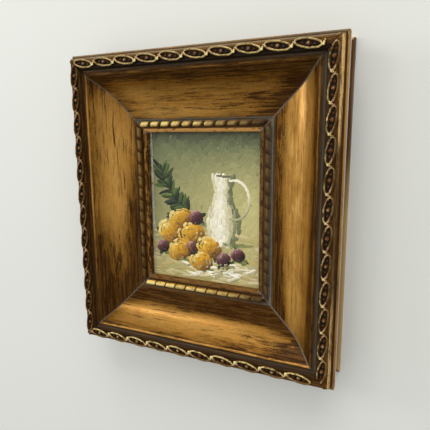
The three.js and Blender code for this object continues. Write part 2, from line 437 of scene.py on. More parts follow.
# How places in mm and patterns turn into shares: what is measured, from, to, and the share at each end
def giltSpans(look):
    half, shelf, rim, crestWearAndHighlight = look["half"], look["shelfFrom"], look["rim"], look["crestWearAndHighlight"]
    return {
        "stretch": ("along", -90.0, 90.0, 0.0, 1.0),
        "stain": ("along", 0.0, 70.0, 0.0, 1.0),
        "reelSide": ("along", -45.0, 45.0, *look["reels"]),
        "ends": ("reach", half - 22.0, half, 0.0, look["ends"]),
        "mitre": ("reach", half - 0.9, half - 0.45, 0.0, look["joint"]),
        "inCove": ("inwards", 13.0, 18.0, 0.0, 1.0),
        "shelf": ("inwards", shelf, shelf + 8.0, 0.0, 1.0),
        # painted shade on the cove's outer part beside the fillet, which is turned from the light
        "coveShade": ("inwards", 23.0, 15.5, 0.0, look["coveShade"]),
        "seatDirt": ("inwards", 13.0, 11.5, 0.0, look["seatDirt"] - look["coveShade"]),
        "innerRim": ("inwards", 6.0, 8.5, look["outerRim"], 1.0),
        "dustSide": ("inwards", 20.0, 40.0, *look["dust"]),
        "sightLip": ("inwards", 56.8, 57.8, 0.0, 1.0),
        "slopeDust": ("inwards", 5.0, 3.2, 0.0, look["slopeDust"]),
        "atEdge": ("inwards", 0.5, 0.15, 0.0, 1.0),
        "lipFace": ("outwards", 25.2, 24.2, 0.0, 1.0),
        "slopeOut": ("outwards", 28.9, 31.5, 0.0, 1.0),
        "flanks": ("outwards", 35.45, 36.0, 0.0, 1.0),
        # tops of the beads: painted highlight; crests of the rims: worn gilt with painted highlight
        "beadTops": ("outwards", 36.2, 36.65, 0.0, 1.0),
        "crests": ("outwards", crestWearAndHighlight, crestWearAndHighlight + 0.34, 0.0, 1.0),
        # reels' backs and tops: gold with painted highlight
        "reelBacks": ("outwards", 17.5, 18.8, 0.0, 1.0),
        "reelTops": ("outwards", 18.8, 19.4, 0.0, 1.0),
        "flange": ("outwards", 5.4, 3.6, 0.0, 0.85),
        "uneven": ("blotch", 0.0, 1.0, -0.42, 0.18),
        "strokes": ("hair", 0.56, 0.61, 0.0, look["strokes"]),
        "streaky": ("streaks", 0.92, 1.02, 0.6, 1.0),
        "rubbed": ("streak", 0.47, 0.54, 1.2, 0.0),
        "worn": ("fleck", 0.44, 0.54, 0.0, 1.0),
        "wornBacks": ("fleck", 0.44, 0.54, 0.45, 1.0),
        "rimWear": ("fleck", rim - 0.035, rim + 0.035, 0.0, 1.0),
        "patchy": ("speck", 0.40, 0.60, 0.1, 1.0),
        "settled": ("scratch", 0.36, 0.58, 0.25, 1.0),
        "knob": ("eyePlace", 0.13, 0.06, 0.0, 1.0),
        # painted shade at one end of each slanted reel
        "reelEndShade": ("reelPlace", *look["reelEndShade"], 1.0, 0.0),
    }


# How the shares work on each other, in order: the new share, what is done and to which
giltSteps = [
    ("glaze", "MAXIMUM", "glaze", "strokes"),
    # dirt and painted shade, laid together in ragged smears
    ("dirt", "MULTIPLY", "smears", "streaky"),
    ("dirt", "MAXIMUM", "dirt", "strokes"),
    # gold on the lip, the slope behind it and the fillet, rubbed through in places; the slope's pale gold is
    # partly a painted highlight
    ("slopeGoldAndHighlight", "MULTIPLY", "slopeOut", "onSlope", "slopeLevel", "rubbed"),
    ("gold", "MULTIPLY", "zoneGold", "goldLevel", "rubbed"),
    ("gold", "MAXIMUM", "gold", "slopeGoldAndHighlight"),
    # thick wash between the chain and the fillet
    ("deep", "MULTIPLY", "inGroove", "deepLevel"),
    # chain: brown-gold flanks, dark beads with painted highlights on their tops, and pale crests, partly worn
    # gilt and partly painted highlight, which reaches lower on the bottom rail; brightest at the knobs
    ("flank", "MULTIPLY", "flanks", "patchy"),
    ("bead", "MULTIPLY", "atBeads", "flank"),
    ("beadHighlight", "MULTIPLY", "beadTops", "bead", "worn"),
    ("offKnob", "SUBTRACT", "all", "knob"),
    ("spared", "MULTIPLY", "bead", "offKnob"),
    ("spared", "SUBTRACT", "all", "spared"),
    ("kept", "MAXIMUM", "knob", "rimWear"),
    ("crestWearAndHighlight", "MULTIPLY", "crests", "innerRim", "kept", "spared", "chainLevel"),
    ("rimTone", "MAXIMUM", "knob", "patchy"),
    # reels: gold on their backs with a painted highlight, paler on their tops, and painted shade at each
    # reel's end;
    # more at one end of the rail than at the other
    ("reelGoldAndHighlight", "MULTIPLY", "reelBacks", "reelEndShade", "inRow", "wornBacks", "reelSide"),
    ("reelHighlight", "MULTIPLY", "reelTops", "reelGoldAndHighlight", "inRow"),
    # the lip at the sight edge, gold in broken patches
    ("lip", "MULTIPLY", "sightLip", "rimWear", "lipLevel"),
    # grey dust in the grooves, warmer on the outer edge and the slope behind it
    ("free", "SUBTRACT", "all", "reelGoldAndHighlight"),
    ("dust", "MULTIPLY", "zoneDust", "dustSide", "settled", "free"),
    ("slopeDust", "MULTIPLY", "slopeDust", "settled"),
    # pale grey on the lip's outer face: a painted reflection of the white wall, strongest on the right rail
    ("bare", "MULTIPLY", "atEdge", "lipFace", "bareLevel"),
    # a thin pale line of dust along each mitre
    ("joint", "MULTIPLY", "mitre", "inCove"),
    # dirt with its painted shade and dust are dull, the worn crests with their painted highlight are not
    ("flat", "MAXIMUM", "dirt", "dust", "joint"),
    ("bright", "MAXIMUM", "crestWearAndHighlight", "reelGoldAndHighlight", "bead"),
    ("dull", "SUBTRACT", "flat", "bright"),
    ("dim", "MAXIMUM", "glaze", "dull"),
]
# The coats over the bronze, in order: share and colour
giltCoats = [
    ("glaze", "glaze"), ("dirt", "umber"), ("gold", "gold"), ("slopeGoldAndHighlight", "slopeGoldAndHighlight"), ("deep", "wash"),
    ("flank", "flank"), ("bead", "bead"), ("beadHighlight", "beadHighlight"), ("crestWearAndHighlight", "rimGold"), ("reelGoldAndHighlight", "reelGold"),
    ("reelHighlight", "paleGold"), ("lip", "lipGold"), ("dust", "dust"), ("slopeDust", "slopeDust"), ("bare", "gesso"),
    ("flange", "flange"), ("joint", "mitreDust"),
]
# How the dull places differ: the share that decides, then the value where it is 0 and where it is 1
giltSheen = {
    "Metallic": ("flat", 0.6, 0.0), "Roughness": ("dull", 0.32, 0.75),
    "Specular IOR Level": ("dim", 0.35, 0.1), "Coat Weight": ("dim", 0.5, 0.0),
}


# Bronze-gold paint over gessoed wood, wiped with dark umber: a satin metal glow, ragged dark smears along
# each rail that also carry painted shade, bright worn crests with painted highlights, and grey dust left in
# the grooves and joints.
def giltMaterial(name, look):
    material, tree = newMaterial(name)
    place = addNode(tree, "ShaderNodeAttribute", attribute_name="railPlace", give="Vector")
    parts = addNode(tree, "ShaderNodeSeparateXYZ", {0: place}, give=None)
    along, inwards, outwards = parts.outputs
    measures = {"along": along, "inwards": inwards, "outwards": outwards}
    for i, pattern in enumerate(("smear", "scratch", "blotch", "fleck", "speck", "hair")):
        mapped = addNode(tree, "ShaderNodeMapping", {
            "Vector": place,
            "Location": (look["seed"] + 7.3 * i, 3.1 * look["seed"], 0.0),
            "Scale": [1 / size for size in gilt[pattern]],
        })
        measures[pattern] = addNode(tree, "ShaderNodeTexNoise", {
            "Vector": mapped, "Scale": 1.0, "Detail": 8.0, "Roughness": 0.76, "Distortion": 0.25,
        })
    reach = addNode(tree, "ShaderNodeMath", {0: along}, operation="ABSOLUTE")
    measures["reach"] = addNode(tree, "ShaderNodeMath", {0: reach, 1: inwards}, operation="ADD")
    for sumName, patterns, count in (
        ("tone", ("blotch", "smear", "scratch"), 3.0),
        ("streak", ("smear", "scratch", "fleck"), 3.0),
        ("streaks", ("scratch", "hair"), 1.0),
        ("relief", ("scratch", "speck"), 1.0),
    ):
        total = measures[patterns[0]]
        for pattern in patterns[1:]:
            total = addNode(tree, "ShaderNodeMath", {0: total, 1: measures[pattern]}, operation="ADD")
        measures[sumName] = addNode(tree, "ShaderNodeMath", {0: total, 1: count}, operation="DIVIDE")
    # place within an oval's pitch, and within a slanted reel's
    spot = addNode(tree, "ShaderNodeMath", {0: along, 1: look["eyeShift"]}, operation="SUBTRACT")
    spot = addNode(tree, "ShaderNodeMath", {0: spot, 1: look["eyePitch"]}, operation="DIVIDE")
    measures["eyePlace"] = addNode(tree, "ShaderNodeMath", {0: spot, 1: 0.5}, operation="PINGPONG")
    spot = addNode(tree, "ShaderNodeMath", {0: inwards, 1: reel["in"]}, operation="SUBTRACT")
    for factor, added in ((-reel["slant"], along), (1 / look["reelPitch"], 0.5)):
        spot = addNode(tree, "ShaderNodeMath", {0: spot, 1: factor, 2: added}, operation="MULTIPLY_ADD")
    measures["reelPlace"] = addNode(tree, "ShaderNodeMath", {0: spot}, operation="FRACT")

    shares = {"all": 1.0}
    for part in ("deep", "chain", "lip", "bare"):
        shares[part + "Level"] = look[part]
    for part, (middle, halfWidth) in bands.items():
        shares[part] = addNode(tree, "ShaderNodeMath", {
            0: inwards, 1: middle, 2: halfWidth,
        }, operation="COMPARE")
    for part, (measure, start, end, low, high) in giltSpans(look).items():
        shares[part] = addNode(tree, "ShaderNodeMapRange", {
            0: measures[measure], "From Min": start, "From Max": end, "To Min": low, "To Max": high,
        })
    zone = addNode(tree, "ShaderNodeMath", {0: inwards, 1: zoneSpan}, operation="DIVIDE")
    zone = addNode(
        tree, "ShaderNodeValToRGB", {0: zone},
        ramp=[(at / zoneSpan, (*values, 1.0)) for at, values in zones],
    )
    zone = addNode(tree, "ShaderNodeSeparateColor", {0: zone}, give=None)
    shares["zoneDirt"], shares["zoneGold"], shares["zoneDust"] = zone.outputs
    for part in ("dirt", "shelf", "seat", "slope"):
        last = len(look[part]) - 1
        shares[part + "Level"] = addNode(tree, "ShaderNodeValToRGB", {0: shares["stretch"]}, ramp=[
            (i / last, (level, level, level, 1.0)) for i, level in enumerate(look[part])
        ])
    shelfLevel = addNode(tree, "ShaderNodeMath", {0: shares["shelfLevel"], 1: 1.0}, operation="SUBTRACT")
    start, end = gilt["fillet"]
    shares["goldLevel"] = addNode(tree, "ShaderNodeMapRange", {
        0: inwards, "From Min": start, "From Max": end, "To Min": shares["seatLevel"], "To Max": look["gold"],
    })

    # umber in ragged smears that also carry painted shade, by rail and by place along it, thicker in the
    # zones' dark places, in the painted shade on the cove's outer part and towards the mitres, over a thin
    # brown glaze that reaches further
    amount = measures["smear"]
    for part, weight in (
        (shares["zoneDirt"], 0.5), (measures["scratch"], 0.9), (measures["speck"], 0.45),
        (shares["inReels"], 0.25), (shares["shelf"], shelfLevel), (shares["uneven"], 1.0),
        (shares["dirtLevel"], 1.0), (shares["ends"], 1.0), (shares["coveShade"], 1.0), (shares["seatDirt"], 1.0),
    ):
        amount = addNode(tree, "ShaderNodeMath", {0: part, 1: weight, 2: amount}, operation="MULTIPLY_ADD")
    for part, kind in (("glaze", "LINEAR"), ("smears", "SMOOTHSTEP")):
        start, end, most = gilt[part + "Span"]
        shares[part] = addNode(tree, "ShaderNodeMapRange", {
            0: amount, "From Min": start, "From Max": end, "To Max": most,
        }, interpolation_type=kind)
    for part, operation, first, *others in giltSteps:
        share = shares[first]
        for other in others:
            share = addNode(tree, "ShaderNodeMath", {
                0: share, 1: shares[other],
            }, operation=operation, use_clamp=other == others[-1])
        shares[part] = share

    # bronze, uneven in tone, and the coats over it
    shades = {"umber": addNode(tree, "ShaderNodeValToRGB", {0: measures["speck"]}, ramp=gilt["umber"])}
    stain = addNode(tree, "ShaderNodeMath", {
        0: shares["stain"], 1: measures["streak"], 2: shares["stain"],
    }, operation="MULTIPLY_ADD", use_clamp=True)
    for part, share, other in (("rimGold", shares["rimTone"], "paleGold"), ("flange", stain, "flangeStain")):
        shades[part] = addNode(tree, "ShaderNodeMix", {
            0: share, 6: colour(gilt[part]), 7: colour(gilt[other]),
        }, data_type="RGBA", give=2)
    paint = addNode(tree, "ShaderNodeValToRGB", {0: measures["tone"]}, ramp=gilt["bronze"])
    for part, shade in giltCoats:
        paint = addNode(tree, "ShaderNodeMix", {
            0: shares[part], 6: paint, 7: shades[shade] if shade in shades else colour(gilt[shade]),
        }, data_type="RGBA", give=2)
    tint = addNode(tree, "ShaderNodeMix", {
        0: shares["dim"], 6: (1.0, 1.0, 1.0, 1.0), 7: paint,
    }, data_type="RGBA", give=2)
    finish = {"Base Color": paint, "Specular Tint": tint, "Coat Roughness": 0.28}
    for part, (share, bright, dull) in giltSheen.items():
        finish[part] = addNode(tree, "ShaderNodeMapRange", {
            0: shares[share], "To Min": bright, "To Max": dull,
        })
    closeMaterial(tree, finish, measures["relief"], strength=0.32, depth=0.14)
    return material


# Umber wash that has settled in the hollows of the chain: almost black, with a dull gloss
def washMaterial():
    material, tree = newMaterial("Umber wash")
    place = addNode(tree, "ShaderNodeTexCoord", give="Object")
    mottle = addNode(tree, "ShaderNodeTexNoise", {"Vector": place, "Scale": 1 / (2.5 * mm), "Detail": 4.0})
    tone = addNode(tree, "ShaderNodeValToRGB", {0: mottle}, ramp=[
        (0.35, colour("#050404")), (0.58, colour("#100b08")), (0.75, colour("#2c1a10")),
    ])
    closeMaterial(tree, {
        "Base Color": tone, "Roughness": 0.5, "Specular IOR Level": 0.2,
    }, mottle, strength=0.4, depth=0.2)
    return material


# Bare pine at the back: pale brown, darkened with age, with grain along the rail
def pineMaterial():
    material, tree = newMaterial("Aged pine")
    place = addNode(tree, "ShaderNodeAttribute", attribute_name="railPlace", give="Vector")
    mapped = addNode(tree, "ShaderNodeMapping", {"Vector": place, "Scale": (1 / 60, 1 / 1.8, 1 / 1.8)})
    grain = addNode(tree, "ShaderNodeTexNoise", {
        "Vector": mapped, "Scale": 1.0, "Detail": 6.0, "Roughness": 0.6, "Distortion": 0.8,
    })
    tone = addNode(tree, "ShaderNodeValToRGB", {0: grain}, ramp=[
        (0.30, colour("#6b4a2b")), (0.50, colour("#94703f")), (0.70, colour("#b08f5f")),
    ])
    closeMaterial(tree, {"Base Color": tone, "Roughness": 0.78}, grain, strength=0.3, depth=0.15)
    return material


# The four rails. Quarter turns bring a rail from the bottom to its own side. Dirt with its painted shade,
# shelf, seat, slope and reels are levels along the rail, and dust is for the outer and the inner groove. The
# rails also differ in painted shade on the cove's outer part and in painted highlight on the crests and
# reels. The shelf's levels are kept one too high, because a ramp holds nothing below 0.
rails = {
    "bottom_rail": {
        "turns": 0, "seed": 1.0, "strokes": 0.8, "ends": 0.18, "coveShade": 0.0, "deep": 0.5,
        "dirt": (0.28, 0.28, 0.55), "shelf": (1.28, 1.58, 2.2), "shelfFrom": 32.0,
        "gold": 1.0, "seat": (0.3, 0.35, 0.4), "seatDirt": 0.05, "slope": (0.2, 0.2, 0.2),
        "rim": 0.45, "outerRim": 0.12, "crestWearAndHighlight": 36.1, "chain": 1.0,
        "reels": (1.3, 0.04), "reelEndShade": (0.8, 0.96), "lip": 0.3,
        "dust": (0.4, 0.3), "slopeDust": 0.03, "bare": 0.2, "joint": 0.7,
    },
    "left_rail": {
        "turns": 1, "seed": 12.0, "strokes": 0.85, "ends": 0.2, "coveShade": 0.0, "deep": 0.3,
        "dirt": (0.30, 0.26, 0.84), "shelf": (0.72, 1.22, 0.98), "shelfFrom": 37.0,
        "gold": 0.05, "seat": (0.2, 0.15, 0.1), "seatDirt": 0.1, "slope": (0.2, 0.2, 0.2),
        "rim": 0.53, "outerRim": 0.3, "crestWearAndHighlight": 36.5, "chain": 0.3,
        "reels": (0.12, 0.05), "reelEndShade": (0.55, 0.85), "lip": 0.5,
        "dust": (0.1, 0.12), "slopeDust": 0.03, "bare": 0.2, "joint": 0.6,
    },
    "top_rail": {
        "turns": 2, "seed": 23.0, "strokes": 0.85, "ends": 0.2, "coveShade": 0.2, "deep": 0.85,
        "dirt": (0.60, 0.50, 0.34), "shelf": (0.90, 0.68, 0.80), "shelfFrom": 37.0,
        "gold": 0.12, "seat": (0.5, 0.4, 0.3), "seatDirt": 0.15, "slope": (0.25, 0.3, 0.4),
        "rim": 0.43, "outerRim": 0.7, "crestWearAndHighlight": 36.4, "chain": 1.1,
        "reels": (0.04, 1.3), "reelEndShade": (0.48, 0.2), "lip": 1.0,
        "dust": (0.28, 0.7), "slopeDust": 0.7, "bare": 0.5, "joint": 0.7,
    },
    "right_rail": {
        "turns": 3, "seed": 34.0, "strokes": 0.3, "ends": 0.14, "coveShade": 0.55, "deep": 0.5,
        "dirt": (0.27, 0.12, 0.08), "shelf": (1.50, 1.38, 1.26), "shelfFrom": 36.0,
        "gold": 0.12, "seat": (0.4, 0.04, 0.03, 0.05, 0.6), "seatDirt": 0.2,
        "slope": (0.9, 0.06, 0.05, 0.06, 2.8),
        "rim": 0.50, "outerRim": 0.25, "crestWearAndHighlight": 36.5, "chain": 0.95,
        "reels": (0.04, 0.06), "reelEndShade": (0.5, 0.2), "lip": 0.3,
        "dust": (0.55, 0.9), "slopeDust": 0.02, "bare": 1.0, "joint": 0.8,
    },
}


# writes each point's place along, in and out, so that the paint follows the rail
def markPlaces(rail):
    marks = rail.data.attributes.new("railPlace", "FLOAT_VECTOR", "POINT")
    for vertex, mark in zip(rail.data.vertices, marks.data):
        x, y, z = vertex.co / mm
        mark.vector = (x, z, -y)


def makeRail(name, look):
    upright = look["turns"] % 2 == 1
    length = moulding["height"] if upright else moulding["width"]
    reach = (moulding["width"] if upright else moulding["height"]) / 2
    rail = drawMoulding("gilt_" + name, length)
    units, floors = [], []
    count, eyePitch = eye["up" if upright else "across"]
    eyePart, floorPart = carveEye(eyePitch)
    shift = 0.0 if upright else eye["shift"] * (1 if look["turns"] == 0 else -1)
    for x in rowPlaces(count, eyePitch, shift):
        for unit, group in ((eyePart, units), (floorPart, floors)):
            twin = copyTo(unit, x, eye["in"])
            if abs(x) + eyePitch / 2 > length / 2 - eye["in"]:  # cut off by the mitre
                selectOnly(twin)
                bpy.ops.object.transform_apply(location=True)
                bpy.ops.object.mode_set(mode="EDIT")
                cutMitres(length / 2 * mm)
                bpy.ops.object.mode_set(mode="OBJECT")
            group.append(twin)
    count, pitch = reel["up" if upright else "across"]
    reelPart = carveReel(pitch)
    for x in rowPlaces(count, pitch):
        units.append(copyTo(reelPart, x, reel["in"]))
    for side in (1, -1):
        units.append(carveCorner(length, side))
    for part in (eyePart, floorPart, reelPart):
        bpy.data.objects.remove(part)
    giltFinish = giltMaterial("Antique gilt " + name, look | {
        "half": length / 2, "eyeShift": shift, "eyePitch": eyePitch, "reelPitch": pitch,
    })
    for part in [rail, *units]:
        part.data.materials.append(giltFinish)
    for part in floors:
        part.data.materials.append(washFinish)
    bare = moulding["bare"]
    for face in rail.data.polygons:  # the back and the rebate are bare wood
        inwards, outwards = face.center.z / mm, -face.center.y / mm
        atBack = face.normal.y > 0.5
        inRebate = face.normal.z > 0.7 and outwards < bare["rebateFront"] and inwards > bare["rebateFrom"]
        face.material_index = 1 if (atBack or inRebate) and outwards < bare["below"] else 0
    rail.data.materials.append(pineFinish)
    selectOnly(rail, *units, *floors)
    bpy.ops.object.join()
    markPlaces(rail)
    bpy.ops.object.shade_smooth_by_angle(angle=math.radians(moulding["smoothAngle"]))
    rail.data.transform(Matrix.Translation((0, 0, -reach * mm)))
    rail.data.transform(Matrix.Rotation(look["turns"] * math.pi / 2, 4, "Y"))
    rail.data.transform(Matrix.Translation((0, 0, middleZ * mm)))
    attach(rail, "root")
    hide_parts(name)
    print(name, "carved,", len(rail.data.polygons), "faces")


washFinish = washMaterial()
pineFinish = pineMaterial()
for railName, railLook in rails.items():
    makeRail(railName, railLook)


# The picture: a jug and a heap of fruit on a table, built up in dabs of oil paint.
# Places are in mm from the middle of the picture, x to the right and z up.
picture = {
    "board": (101, 3, 124),
    "front": 12.0,
    "rounding": 0.35,
    "smoothAngle": 45,
    "halfSight": (48.5, 60.0),
    "lip": (47.3, 58.8),
    "underLip": 0.2,  # most that the paint stands up under the frame's lip
    "dabLift": 1e-6,  # for each point laid before, so that no dab lies in another's plane
    "groundStep": (5.0, 3.8),
    # darkTop is where the painted shadow of the frame's lip begins; below it the ground darkens upwards in
    # painted shade
    "darkTop": 0.82,  # share of the half-height
    "hazeDabs": 34,
    "tableTop": -20.0,
    "tableDabs": 130,
    "shadowDabs": 9,
    "jug": {
        "at": 17.0, "foot": -27.0, "height": 54.0, "profile": (8, 12.5, 15, 15.5, 14, 11, 8, 7, 8, 10),
        "rows": 24, "dabs": 9, "mouthDabs": 7,
    },
    "handle": (12.0, 15.0, 13),  # reach to the right, half-height, dabs
    "fruitRings": [(0.84, 16), (0.58, 11), (0.32, 7), (0.08, 3)],  # share of the radius, dabs
    "lemon": [(-21, -9, 9.5, 20), (-31, -21, 10, -25), (-12, -21, 10.5, 10), (4, -31, 9.5, -15),
              (-22, -35, 10, 30), (-3, -43, 9, 0)],
    "plum": [(-7, -8, 6.5, 0), (-38, -34, 6, 0), (-11, -33, 6.5, 0), (17, -40, 6.5, 0), (29, -35, 6, 0)],
    "branch": [(-14, -3), (-25, 6), (-34, 19), (-38, 33)],
    "leaves": 44,
    "leavesByFruit": 4,
    "cloth": (14.0, -49.0, 30.0, 6.0),  # middle and reach
    "clothDabs": 60,
}
palette = {
    # the darkest ground colour is a painted shadow of the frame's lip
    "lipShadowGround": "#444a33",
    "groundTop": "#6a724c",
    "groundLeft": "#8b895b",
    "groundRight": "#ccc282",
    "groundLow": "#b7ab70",
    "haze": ["#a9aca0", "#b9bbb0", "#9b9f90"],
    "table": ["#cfc08c", "#c4b278", "#d8cc9e", "#bfa862", "#b5a36c"],
    "cloth": ["#ece4c8", "#f8f3e0", "#d8cda4", "#b3ab82"],
    "jug": ["#6f7350", "#a9a67c", "#d6cda6", "#efe8cf", "#faf6e6"],
    "lemon": ["#6e4408", "#a8740e", "#cf9616", "#e4b232", "#f3da8c"],
    "plum": ["#1f0c12", "#3a181e", "#54262a", "#7a444a", "#b08a8c"],
    "leaf": ["#26321a", "#36481f", "#1a2113", "#4c602a", "#6b7c3c"],
}


# one dab: a tapered patch with a raised middle and a ridge along each side
def modelDab():
    bpy.ops.object.select_all(action="DESELECT")
    bpy.ops.mesh.primitive_grid_add(x_subdivisions=6, y_subdivisions=4, size=1)
    dab = startEdit("dab")
    for x, width in ((0.5, 0.3), (1 / 3, 0.78), (-0.5, 0.55), (-1 / 3, 0.9)):
        pick(dab, "VERT", lambda v: abs(v.co.x - x) < 0.02)
        bpy.ops.transform.resize(value=(1, width, 1), center_override=(x, 0, 0))
    pick(dab, "VERT", lambda v: all(len(e.link_faces) == 2 for e in v.link_edges))
    bpy.ops.transform.translate(value=(0, 0, 1))
    pick(dab, "VERT", lambda v: v.co.z > 0.5 and abs(v.co.y) > 0.1)
    bpy.ops.transform.translate(value=(0, 0, 0.35))
    endEdit(dab)
    shape = [tuple(v.co) for v in dab.data.vertices], [tuple(p.vertices) for p in dab.data.polygons]
    bpy.data.objects.remove(dab)
    return shape


dabPoints, dabFaces = modelDab()
hand = random.Random(21)
paintLayer = {"points": [], "faces": [], "shades": [], "strokes": []}


# lays one dab: place, length, width and height in mm, its angle in degrees, its bend and colour
def layDab(x, z, length, width, height, angle, shade, bend=0.0):
    turn = math.radians(angle)
    first = len(paintLayer["points"])
    seed = hand.uniform(0, 500)
    for px, py, pz in dabPoints:
        u = px * length
        v = py * width + bend * length * (px * px - 0.08)
        wx = x + u * math.cos(turn) - v * math.sin(turn)
        wz = z + u * math.sin(turn) + v * math.cos(turn)
        wx = max(-picture["halfSight"][0], min(picture["halfSight"][0], wx))
        wz = max(-picture["halfSight"][1], min(picture["halfSight"][1], wz))
        out = picture["front"] + first * picture["dabLift"] + (pz * height if pz > 0.5 else 0.0)
        if abs(wx) > picture["lip"][0] or abs(wz) > picture["lip"][1]:  # pressed flat under the frame
            out = min(out, picture["front"] + picture["underLip"])
        paintLayer["points"].append((wx * mm, -out * mm, (wz + middleZ) * mm))
        paintLayer["shades"].append(shade)
        paintLayer["strokes"].append((u, v, seed))
    paintLayer["faces"].extend(tuple(first + i for i in face) for face in dabFaces)


def mixed(a, b, share):
    return tuple(p + (q - p) * share for p, q in zip(a, b))


# the colour a little lighter or darker
def varied(shade, vary):
    change = 1 + hand.uniform(-vary, vary)
    return tuple(min(1.0, c * change) for c in shade[:3]) + (1.0,)


# a colour from the palette, any or a chosen one
def shadeOf(name, index=None):
    tones = palette[name]
    return varied(colour(hand.choice(tones) if index is None else tones[index]), 0.12)


# the ground darkens towards the top and the left; towards the top this is painted shade from the frame,
# darkest in the painted shadow under its lip
def groundShade(x, z):
    wide, tall = picture["halfSight"]
    side = (x + wide) / (2 * wide)
    shade = mixed(colour(palette["groundLeft"]), colour(palette["groundRight"]), side)
    height = z / tall
    darkTop = picture["darkTop"]
    # painted shadow of the frame's lip across the top of the picture
    if height > darkTop:
        edge = (height - darkTop) / (1 - darkTop)
        return mixed(colour(palette["groundTop"]), colour(palette["lipShadowGround"]), edge)
    if height > 0:
        return mixed(shade, colour(palette["groundTop"]), (height / darkTop) ** 1.6)
    return mixed(shade, colour(palette["groundLow"]), -height)


def paintGround():
    wide, tall = picture["halfSight"]
    stepX, stepZ = picture["groundStep"]
    z = -tall + 1
    while z < tall:
        x = -wide + 1
        while x < wide:
            layDab(x + hand.uniform(-2, 2), z + hand.uniform(-1.5, 1.5), hand.uniform(9, 16),
                   hand.uniform(4, 7), hand.uniform(0.01, 0.04), hand.gauss(48, 40),
                   varied(groundShade(x, z), 0.05), hand.uniform(-0.15, 0.15))
            x += stepX
        z += stepZ
    for i in range(picture["hazeDabs"]):  # thin pale ground along the left edge
        layDab(2.1 - wide, hand.uniform(-tall, tall), hand.uniform(8, 15), 2.3, 0.05, 90,
               shadeOf("haze"))


def paintTable():
    wide, tall = picture["halfSight"]
    for i in range(picture["tableDabs"]):
        x = hand.uniform(-wide, wide)
        z = hand.uniform(-tall + 1, picture["tableTop"])
        shade = mixed(groundShade(x, z), shadeOf("table"), hand.uniform(0.3, 0.9))
        layDab(x, z, hand.uniform(7, 17), hand.uniform(1.8, 3.6), hand.uniform(0.10, 0.22),
               hand.gauss(0, 9), shade)
    cx, cz, reachX, reachZ = picture["cloth"]
    for i in range(picture["clothDabs"]):  # white cloth, rumpled
        x, z = cx + hand.uniform(-reachX, reachX), cz + hand.uniform(-reachZ, reachZ)
        layDab(x, z, hand.uniform(6, 13), hand.uniform(1.6, 3.2), hand.uniform(0.15, 0.3), hand.gauss(8, 16),
               shadeOf("cloth"), hand.uniform(-0.2, 0.2))


# between the tones of a form, from dark to light
def litShade(name, light):
    tones = palette[name]
    light = max(0.0, min(1.0, light)) * (len(tones) - 1.01)
    tone = int(light)
    return mixed(shadeOf(name, tone), shadeOf(name, tone + 1), light - tone)


# soft green shadow on the table, to the right of what stands there
def paintShadow(x, z, reach):
    for i in range(picture["shadowDabs"]):
        spot = x + hand.uniform(-0.4, 1.0) * reach
        layDab(spot, z + hand.gauss(0, 0.7), hand.uniform(0.5, 0.9) * reach, hand.uniform(1.4, 2.6), 0.2,
               hand.gauss(0, 6), mixed(shadeOf("leaf", 3), groundShade(spot, z), hand.uniform(0.1, 0.5)))


# rows of dabs round the jug, lit from the left
def paintJug():
    jug = picture["jug"]
    profile = jug["profile"]
    paintShadow(jug["at"] + 4, jug["foot"], 22)
    rows, dabs = jug["rows"], jug["dabs"]
    for row in range(rows):
        place = row / (rows - 1) * (len(profile) - 1.01)
        step = int(place)
        half = profile[step] + (profile[step + 1] - profile[step]) * (place - step)
        z = jug["foot"] + jug["height"] * row / rows
        for i in range(dabs):
            side = -0.86 + 1.72 * i / (dabs - 1)
            light = 0.9 * math.cos((side + 0.3) * 1.5) - 0.04 + hand.uniform(-0.12, 0.12)
            layDab(jug["at"] + side * half + hand.uniform(-0.7, 0.7), z + hand.uniform(-0.7, 0.7),
                   hand.uniform(4.5, 7.5), hand.uniform(2.4, 3.6), hand.uniform(0.1, 0.25),
                   90 - side * 10 + hand.uniform(-25, 25), litShade("jug", light))
    top = jug["foot"] + jug["height"]
    for i in range(jug["mouthDabs"]):  # dark mouth
        layDab(jug["at"] + hand.uniform(-4, 4), top - 1 + hand.uniform(-0.5, 0.5), 6, 1.8, 0.3,
               hand.gauss(0, 6), shadeOf("jug", 0))
    reach, tall, count = picture["handle"]
    for i in range(count):
        angle = math.radians(100 - 200 * i / (count - 1))
        x = jug["at"] + 9 + reach * math.cos(angle)
        z = top - 4 - tall + tall * math.sin(angle)
        layDab(x, z, 5.5, 2.4, 0.35, math.degrees(angle) + 90, litShade("jug", 0.55 + 0.3 * math.sin(angle)))


# a round fruit: a dark bed, then rings of dabs that follow the form, lighter above and to the left
def paintFruit(x, z, size, tilt, name):
    paintShadow(x + size * 0.3, z - size * 0.8, size)
    longer = 1.25 if name == "lemon" else 1.0
    turn = math.radians(tilt)
    for ring, count in picture["fruitRings"]:
        for i in range(count):
            angle = 2 * math.pi * i / count + hand.uniform(-0.15, 0.15)
            u, v = size * ring * longer * math.cos(angle), size * ring * 0.9 * math.sin(angle)
            dx, dz = u * math.cos(turn) - v * math.sin(turn), u * math.sin(turn) + v * math.cos(turn)
            light = 0.48 + (0.55 * dz - 0.4 * dx) / size + hand.uniform(-0.1, 0.1)
            layDab(x + dx, z + dz, size * hand.uniform(0.45, 0.7), size * hand.uniform(0.24, 0.36),
                   hand.uniform(0.2, 0.5), math.degrees(angle) + tilt + 90 + hand.uniform(-20, 20),
                   litShade(name, light), 0.2)
    for i in range(2):  # light on the skin
        layDab(x - size * 0.3, z + size * 0.38, size * 0.3, size * 0.2, 0.6, tilt + hand.uniform(-30, 30),
               shadeOf(name, 4))


